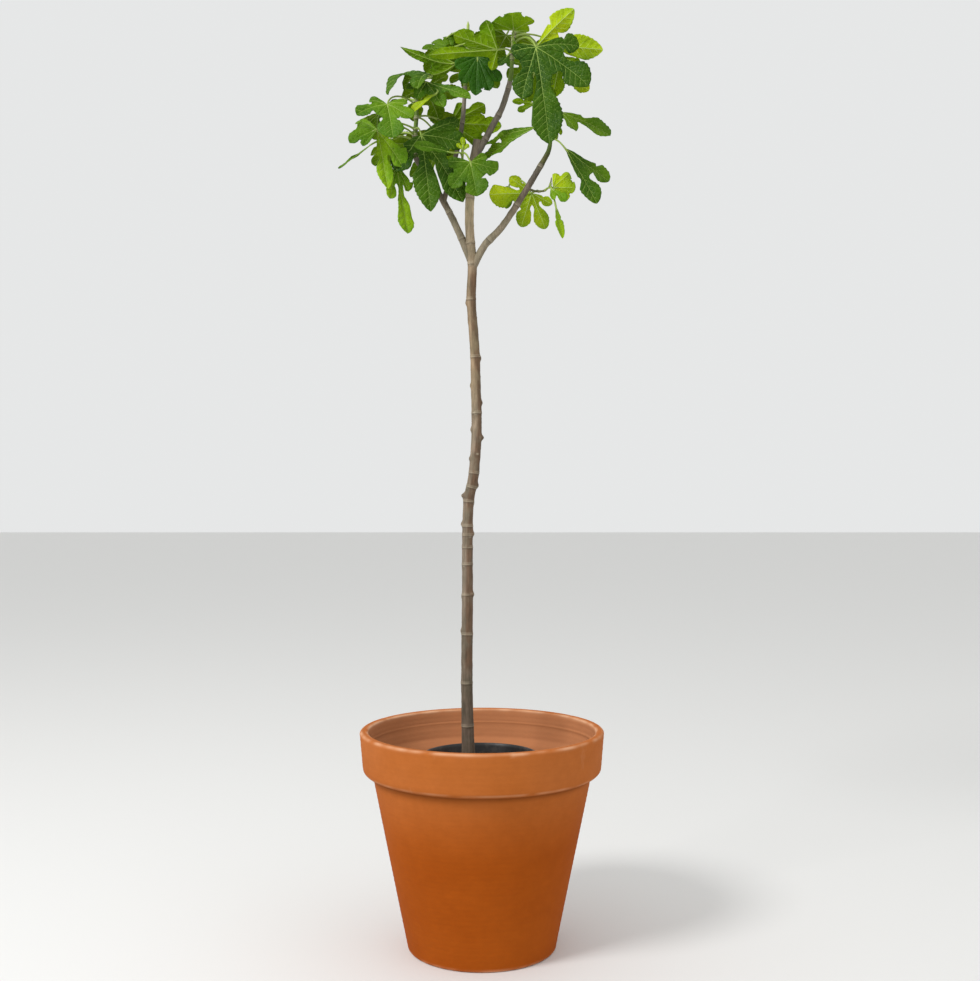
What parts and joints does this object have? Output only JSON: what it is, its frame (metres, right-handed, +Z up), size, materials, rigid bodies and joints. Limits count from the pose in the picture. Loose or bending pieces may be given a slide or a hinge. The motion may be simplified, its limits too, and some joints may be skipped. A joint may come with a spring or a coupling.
{
  "type": "potted fig tree",
  "caption": "Young fig grown as a standard: a clear stem, a few boughs and big lobed leaves, in a black nursery pot inside a plain terracotta pot.",
  "frame": {"origin": "centre of the terracotta pot's flat underside, on the floor", "axes": "+Z up along the pot's axis; -Y towards the viewer of the picture; +X to that viewer's right"},
  "size_m": [0.4394, 0.4, 1.5327],
  "materials": {
    "terracotta": "matte unglazed terracotta, a little worn at the rim",
    "black_plastic": "thin black nursery pot plastic",
    "compost": "dark moist potting compost",
    "bark": "smooth grey-brown bark with ring scars",
    "leaf": "satin green leaf, paler and yellower underneath"
  },
  "bodies": {
    "root": {"terracotta_pot": "terracotta", "pot_fill": "compost", "nursery_pot": "black_plastic", "compost": "compost", "trunk": "bark", "bough_right": "bark", "bough_left": "bark", "bough_upright": "bark", "bough_top": "bark", "foliage_top": "leaf", "foliage_upright": "leaf", "foliage_left": "leaf", "foliage_centre": "leaf", "foliage_right": "leaf", "foliage_low_right": "leaf"}
  },
  "joints": []
}
